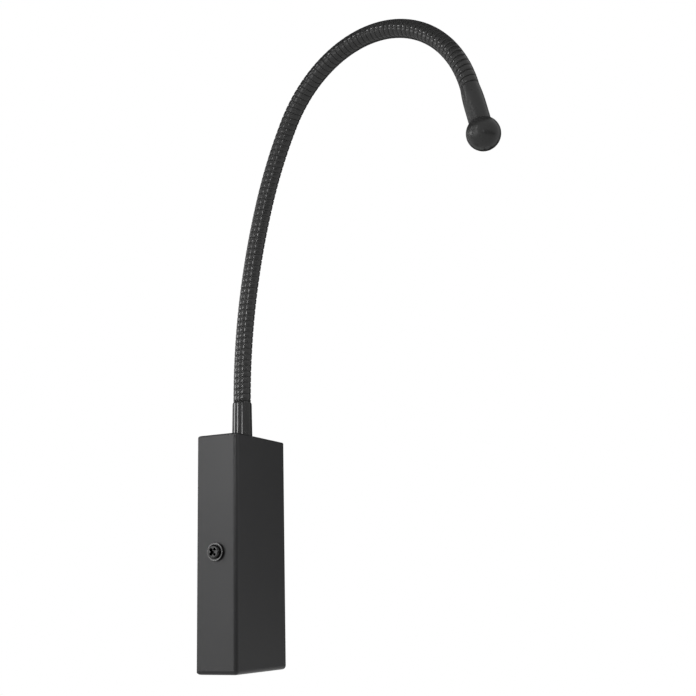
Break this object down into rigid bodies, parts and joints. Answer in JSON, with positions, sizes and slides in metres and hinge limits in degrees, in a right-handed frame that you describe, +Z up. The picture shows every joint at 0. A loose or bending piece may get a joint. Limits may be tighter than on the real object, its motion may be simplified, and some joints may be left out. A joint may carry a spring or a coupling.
{
  "type": "gooseneck reading light",
  "caption": "Wall reading light: a slim upright steel box with a ridged gooseneck that stays as bent and ends in a small ball holding the lamp behind a lens.",
  "frame": {"origin": "on the wall face of the back plate, midway between the two wall screws", "axes": "+Z up, +Y into the wall, so the box's front looks along -Y"},
  "size_m": [0.0724, 0.1651, 0.2981],
  "materials": {
    "housing_paint": "matt black powder coat",
    "plate_steel": "zinc plated",
    "screw_black": "black zinc",
    "bush_rubber": "matt",
    "foam_tape": "foam",
    "driver_plastic": "moulded",
    "circuit_board": "solder mask",
    "terminal_plastic": "moulded",
    "terminal_brass": "plain",
    "live_insulation": "PVC",
    "neutral_insulation": "PVC",
    "cable_jacket": "PVC",
    "collar_black": "glossy black nickel",
    "neck_black": "black lacquered steel",
    "head_paint": "satin black",
    "slug_aluminium": "turned",
    "led_substrate": "white solder mask",
    "led_phosphor": "silicone",
    "lens_clear": "moulded acrylic"
  },
  "bodies": {
    "base": {"housing_cover": "housing_paint", "back_plate": "plate_steel", "cover_screws": "screw_black", "cable_grommet": "bush_rubber", "driver_pad": "foam_tape", "driver_case": "driver_plastic", "driver_board": "circuit_board", "driver_lid": "driver_plastic", "terminal_block": "terminal_plastic", "terminal_screws": "terminal_brass", "terminal_fixing_screw": "plate_steel", "earth_washer": "plate_steel", "earth_screw": "plate_steel", "live_lead": "live_insulation", "neutral_lead": "neutral_insulation", "neck_ferrule": "collar_black", "ferrule_washer": "plate_steel", "ferrule_nut": "plate_steel", "neck_cable": "cable_jacket", "neck_link_01": "neck_black"},
    "neck_02": {"neck_link_02": "neck_black"},
    "neck_03": {"neck_link_03": "neck_black"},
    "neck_04": {"neck_link_04": "neck_black"},
    "neck_05": {"neck_link_05": "neck_black"},
    "neck_06": {"neck_link_06": "neck_black"},
    "neck_07": {"neck_link_07": "neck_black"},
    "neck_08": {"neck_link_08": "neck_black"},
    "neck_09": {"neck_link_09": "neck_black"},
    "neck_10": {"neck_link_10": "neck_black"},
    "neck_11": {"neck_link_11": "neck_black"},
    "neck_12": {"neck_link_12": "neck_black"},
    "neck_13": {"neck_link_13": "neck_black"},
    "neck_14": {"neck_link_14": "neck_black"},
    "neck_15": {"neck_link_15": "neck_black"},
    "neck_16": {"neck_link_16": "neck_black"},
    "neck_17": {"neck_link_17": "neck_black"},
    "neck_18": {"neck_link_18": "neck_black"},
    "neck_19": {"neck_link_19": "neck_black"},
    "head": {"neck_link_20": "neck_black", "head_sleeve": "head_paint", "ball_head": "head_paint", "heat_slug": "slug_aluminium", "led_board": "led_substrate", "led_chip": "led_phosphor", "lens": "lens_clear"}
  },
  "joints": [
    {"name": "lower_bend", "type": "hinge", "parent": "base", "child": "neck_02", "pos_m": [-0.00009, -0.01133, 0.08825], "axis": [0.9659, -0.2588, 0], "range_deg": [-2, 10], "deforming": ["neck_cable"]},
    {"name": "lower_bend_2", "type": "hinge", "parent": "neck_02", "child": "neck_03", "pos_m": [-0.00036, -0.01233, 0.10247], "axis": [0.9659, -0.2588, 0], "range_deg": [-2, 10], "deforming": ["neck_cable"]},
    {"name": "lower_sway", "type": "hinge", "parent": "neck_03", "child": "neck_04", "pos_m": [-0.0008, -0.01399, 0.11662], "axis": [0.2561, 0.9558, 0.1445], "range_deg": [-12, 12], "deforming": ["neck_cable"]},
    {"name": "lower_bend_3", "type": "hinge", "parent": "neck_04", "child": "neck_05", "pos_m": [-0.00142, -0.01631, 0.13067], "axis": [0.9659, -0.2588, 0], "range_deg": [-2, 10], "deforming": ["neck_cable"]},
    {"name": "lower_bend_4", "type": "hinge", "parent": "neck_05", "child": "neck_06", "pos_m": [-0.00222, -0.01928, 0.14459], "axis": [0.9659, -0.2588, 0], "range_deg": [-2, 10], "deforming": ["neck_cable"]},
    {"name": "lower_sway_2", "type": "hinge", "parent": "neck_06", "child": "neck_07", "pos_m": [-0.00319, -0.0229, 0.15835], "axis": [0.248, 0.9256, 0.2859], "range_deg": [-12, 12], "deforming": ["neck_cable"]},
    {"name": "lower_bend_5", "type": "hinge", "parent": "neck_07", "child": "neck_08", "pos_m": [-0.00433, -0.02715, 0.17191], "axis": [0.9659, -0.2588, 0], "range_deg": [-2, 10], "deforming": ["neck_cable"]},
    {"name": "lower_bend_6", "type": "hinge", "parent": "neck_08", "child": "neck_09", "pos_m": [-0.00566, -0.03214, 0.18519], "axis": [0.9659, -0.2588, 0], "range_deg": [-2, 10], "deforming": ["neck_cable"]},
    {"name": "lower_sway_3", "type": "hinge", "parent": "neck_09", "child": "neck_10", "pos_m": [-0.00726, -0.03809, 0.19804], "axis": [0.2289, 0.8544, 0.4665], "range_deg": [-12, 12], "deforming": ["neck_cable"]},
    {"name": "upper_bend", "type": "hinge", "parent": "neck_10", "child": "neck_11", "pos_m": [-0.0091, -0.04498, 0.21039], "axis": [0.9659, -0.2588, 0], "range_deg": [-19, 4], "deforming": ["neck_cable"]},
    {"name": "upper_bend_2", "type": "hinge", "parent": "neck_11", "child": "neck_12", "pos_m": [-0.01142, -0.0536, 0.22146], "axis": [0.9659, -0.2588, 0], "range_deg": [-19, 4], "deforming": ["neck_cable"]},
    {"name": "upper_sway", "type": "hinge", "parent": "neck_12", "child": "neck_13", "pos_m": [-0.01433, -0.06447, 0.23016], "axis": [0.1334, 0.4979, 0.8569], "range_deg": [-12, 12], "deforming": ["neck_cable"]},
    {"name": "upper_bend_3", "type": "hinge", "parent": "neck_13", "child": "neck_14", "pos_m": [-0.01768, -0.07699, 0.23602], "axis": [0.9659, -0.2588, 0], "range_deg": [-19, 4], "deforming": ["neck_cable"]},
    {"name": "upper_bend_4", "type": "hinge", "parent": "neck_14", "child": "neck_15", "pos_m": [-0.0213, -0.09048, 0.23872], "axis": [0.9659, -0.2588, 0], "range_deg": [-19, 4], "deforming": ["neck_cable"]},
    {"name": "upper_sway_2", "type": "hinge", "parent": "neck_15", "child": "neck_16", "pos_m": [-0.02497, -0.10421, 0.23811], "axis": [-0.0411, -0.1535, 0.9873], "range_deg": [-12, 12], "deforming": ["neck_cable"]},
    {"name": "upper_bend_5", "type": "hinge", "parent": "neck_16", "child": "neck_17", "pos_m": [-0.02852, -0.11742, 0.23423], "axis": [0.9659, -0.2588, 0], "range_deg": [-19, 4], "deforming": ["neck_cable"]},
    {"name": "upper_bend_6", "type": "hinge", "parent": "neck_17", "child": "neck_18", "pos_m": [-0.03173, -0.12941, 0.22729], "axis": [0.9659, -0.2588, 0], "range_deg": [-19, 4], "deforming": ["neck_cable"]},
    {"name": "upper_sway_3", "type": "hinge", "parent": "neck_18", "child": "neck_19", "pos_m": [-0.03444, -0.13952, 0.21765], "axis": [-0.1963, -0.7325, 0.6519], "range_deg": [-12, 12], "deforming": ["neck_cable"]},
    {"name": "upper_bend_7", "type": "hinge", "parent": "neck_19", "child": "head", "pos_m": [-0.0365, -0.1472, 0.20586], "axis": [0.9659, -0.2588, 0], "range_deg": [-19, 4], "deforming": ["neck_cable"]}
  ],
  "couplings": [
    {"joint": "lower_bend_2", "follows": "lower_bend", "ratio": 1},
    {"joint": "lower_bend_3", "follows": "lower_bend", "ratio": 1},
    {"joint": "lower_bend_4", "follows": "lower_bend", "ratio": 1},
    {"joint": "lower_sway_2", "follows": "lower_sway", "ratio": 1},
    {"joint": "lower_bend_5", "follows": "lower_bend", "ratio": 1},
    {"joint": "lower_bend_6", "follows": "lower_bend", "ratio": 1},
    {"joint": "lower_sway_3", "follows": "lower_sway", "ratio": 1},
    {"joint": "upper_bend_2", "follows": "upper_bend", "ratio": 1},
    {"joint": "upper_bend_3", "follows": "upper_bend", "ratio": 1},
    {"joint": "upper_bend_4", "follows": "upper_bend", "ratio": 1},
    {"joint": "upper_sway_2", "follows": "upper_sway", "ratio": 1},
    {"joint": "upper_bend_5", "follows": "upper_bend", "ratio": 1},
    {"joint": "upper_bend_6", "follows": "upper_bend", "ratio": 1},
    {"joint": "upper_sway_3", "follows": "upper_sway", "ratio": 1},
    {"joint": "upper_bend_7", "follows": "upper_bend", "ratio": 1}
  ]
}
